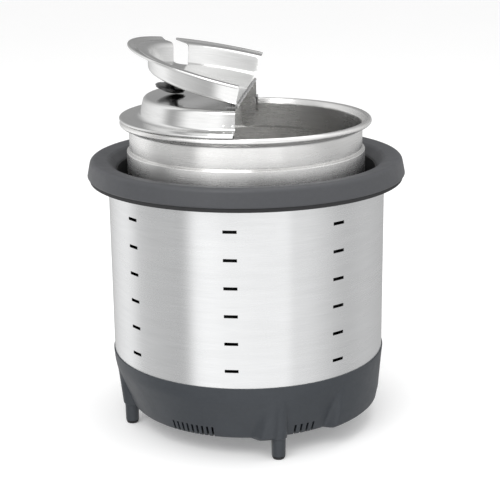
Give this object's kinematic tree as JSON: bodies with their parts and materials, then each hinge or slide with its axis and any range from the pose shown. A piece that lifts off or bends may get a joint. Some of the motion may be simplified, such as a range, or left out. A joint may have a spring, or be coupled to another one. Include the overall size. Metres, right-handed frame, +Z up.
{
  "type": "soup kettle",
  "caption": "Drop-in soup kettle: steel jacket with vent slots, wide collar, base tray on legs, lift-out inset and a two-piece hinged cover.",
  "frame": {"origin": "on the floor, on the kettle's axis, level with the foot pads' undersides", "axes": "+Z up along the kettle's axis, -Y toward the front, +X to the right seen from the front"},
  "size_m": [0.3628, 0.3628, 0.4456],
  "materials": {
    "jacket_steel": "brushed, soft vertical reflections",
    "housing_plastic": "fine grained, dark blue-grey",
    "black_rubber": "matt",
    "black_plastic": "matt moulded",
    "copper_winding": "lacquered copper winding",
    "bare_aluminium": "bare",
    "sensor_brass": "turned",
    "board_laminate": "lacquered laminate",
    "capacitor_sleeve": "shrink sleeve",
    "inset_steel": "turned satin",
    "cover_steel": "polished top, satin sides",
    "hinge_steel": "plain",
    "knob_black": "gloss"
  },
  "bodies": {
    "housing": {"outer_shell": "jacket_steel", "collar": "housing_plastic", "collar_gasket": "black_rubber", "base_tray": "housing_plastic", "leg_post_1": "housing_plastic", "foot_pad_1": "black_rubber", "leg_post_2": "housing_plastic", "foot_pad_2": "black_rubber", "leg_post_3": "housing_plastic", "foot_pad_3": "black_rubber", "leg_post_4": "housing_plastic", "foot_pad_4": "black_rubber", "well_liner": "black_plastic", "coil_carrier": "black_plastic", "induction_coil": "copper_winding", "carrier_post_1": "bare_aluminium", "carrier_post_2": "bare_aluminium", "carrier_post_3": "bare_aluminium", "sensor_guide": "black_plastic", "fan_frame": "black_plastic", "control_board": "board_laminate", "board_standoff_1": "sensor_brass", "board_standoff_2": "sensor_brass", "board_standoff_3": "sensor_brass", "board_standoff_4": "sensor_brass", "heat_sink": "bare_aluminium", "capacitor_1": "capacitor_sleeve", "capacitor_2": "capacitor_sleeve", "choke": "copper_winding", "cord_gland": "black_plastic", "gland_nut": "black_plastic"},
    "fan": {"fan_rotor": "black_plastic"},
    "sensor": {"sensor_plunger": "sensor_brass"},
    "inset": {"inset_pot": "inset_steel"},
    "cover": {"cover_fixed_half": "cover_steel", "tab_front": "cover_steel", "tab_back": "cover_steel", "hinge_leaf_fixed": "hinge_steel", "hinge_pin": "hinge_steel"},
    "flap": {"cover_flap": "cover_steel", "hinge_leaf_flap": "hinge_steel", "knob_base": "hinge_steel", "knob": "knob_black", "knob_screw": "hinge_steel"}
  },
  "joints": [
    {"name": "fan_spin", "type": "hinge", "parent": "housing", "child": "fan", "pos_m": [-0.048, -0.05, 0.047], "axis": [0, 0, 1], "continuous": true},
    {"name": "sensor_press", "type": "slide", "parent": "housing", "child": "sensor", "axis": [0, 0, 1], "range_m": [-0.003, 0], "stiffness_N_per_m": 300, "springref_m": 0.002},
    {"name": "inset_lift", "type": "slide", "parent": "housing", "child": "inset", "axis": [0, 0, 1], "range_m": [0, 0.23]},
    {"name": "cover_lift", "type": "slide", "parent": "inset", "child": "cover", "axis": [0, 0, 1], "range_m": [0, 0.07]},
    {"name": "flap_fold", "type": "hinge", "parent": "cover", "child": "flap", "pos_m": [0.00149, -0.00016, 0.387], "axis": [0.1045, 0.9945, 0], "range_deg": [0, 167]}
  ]
}
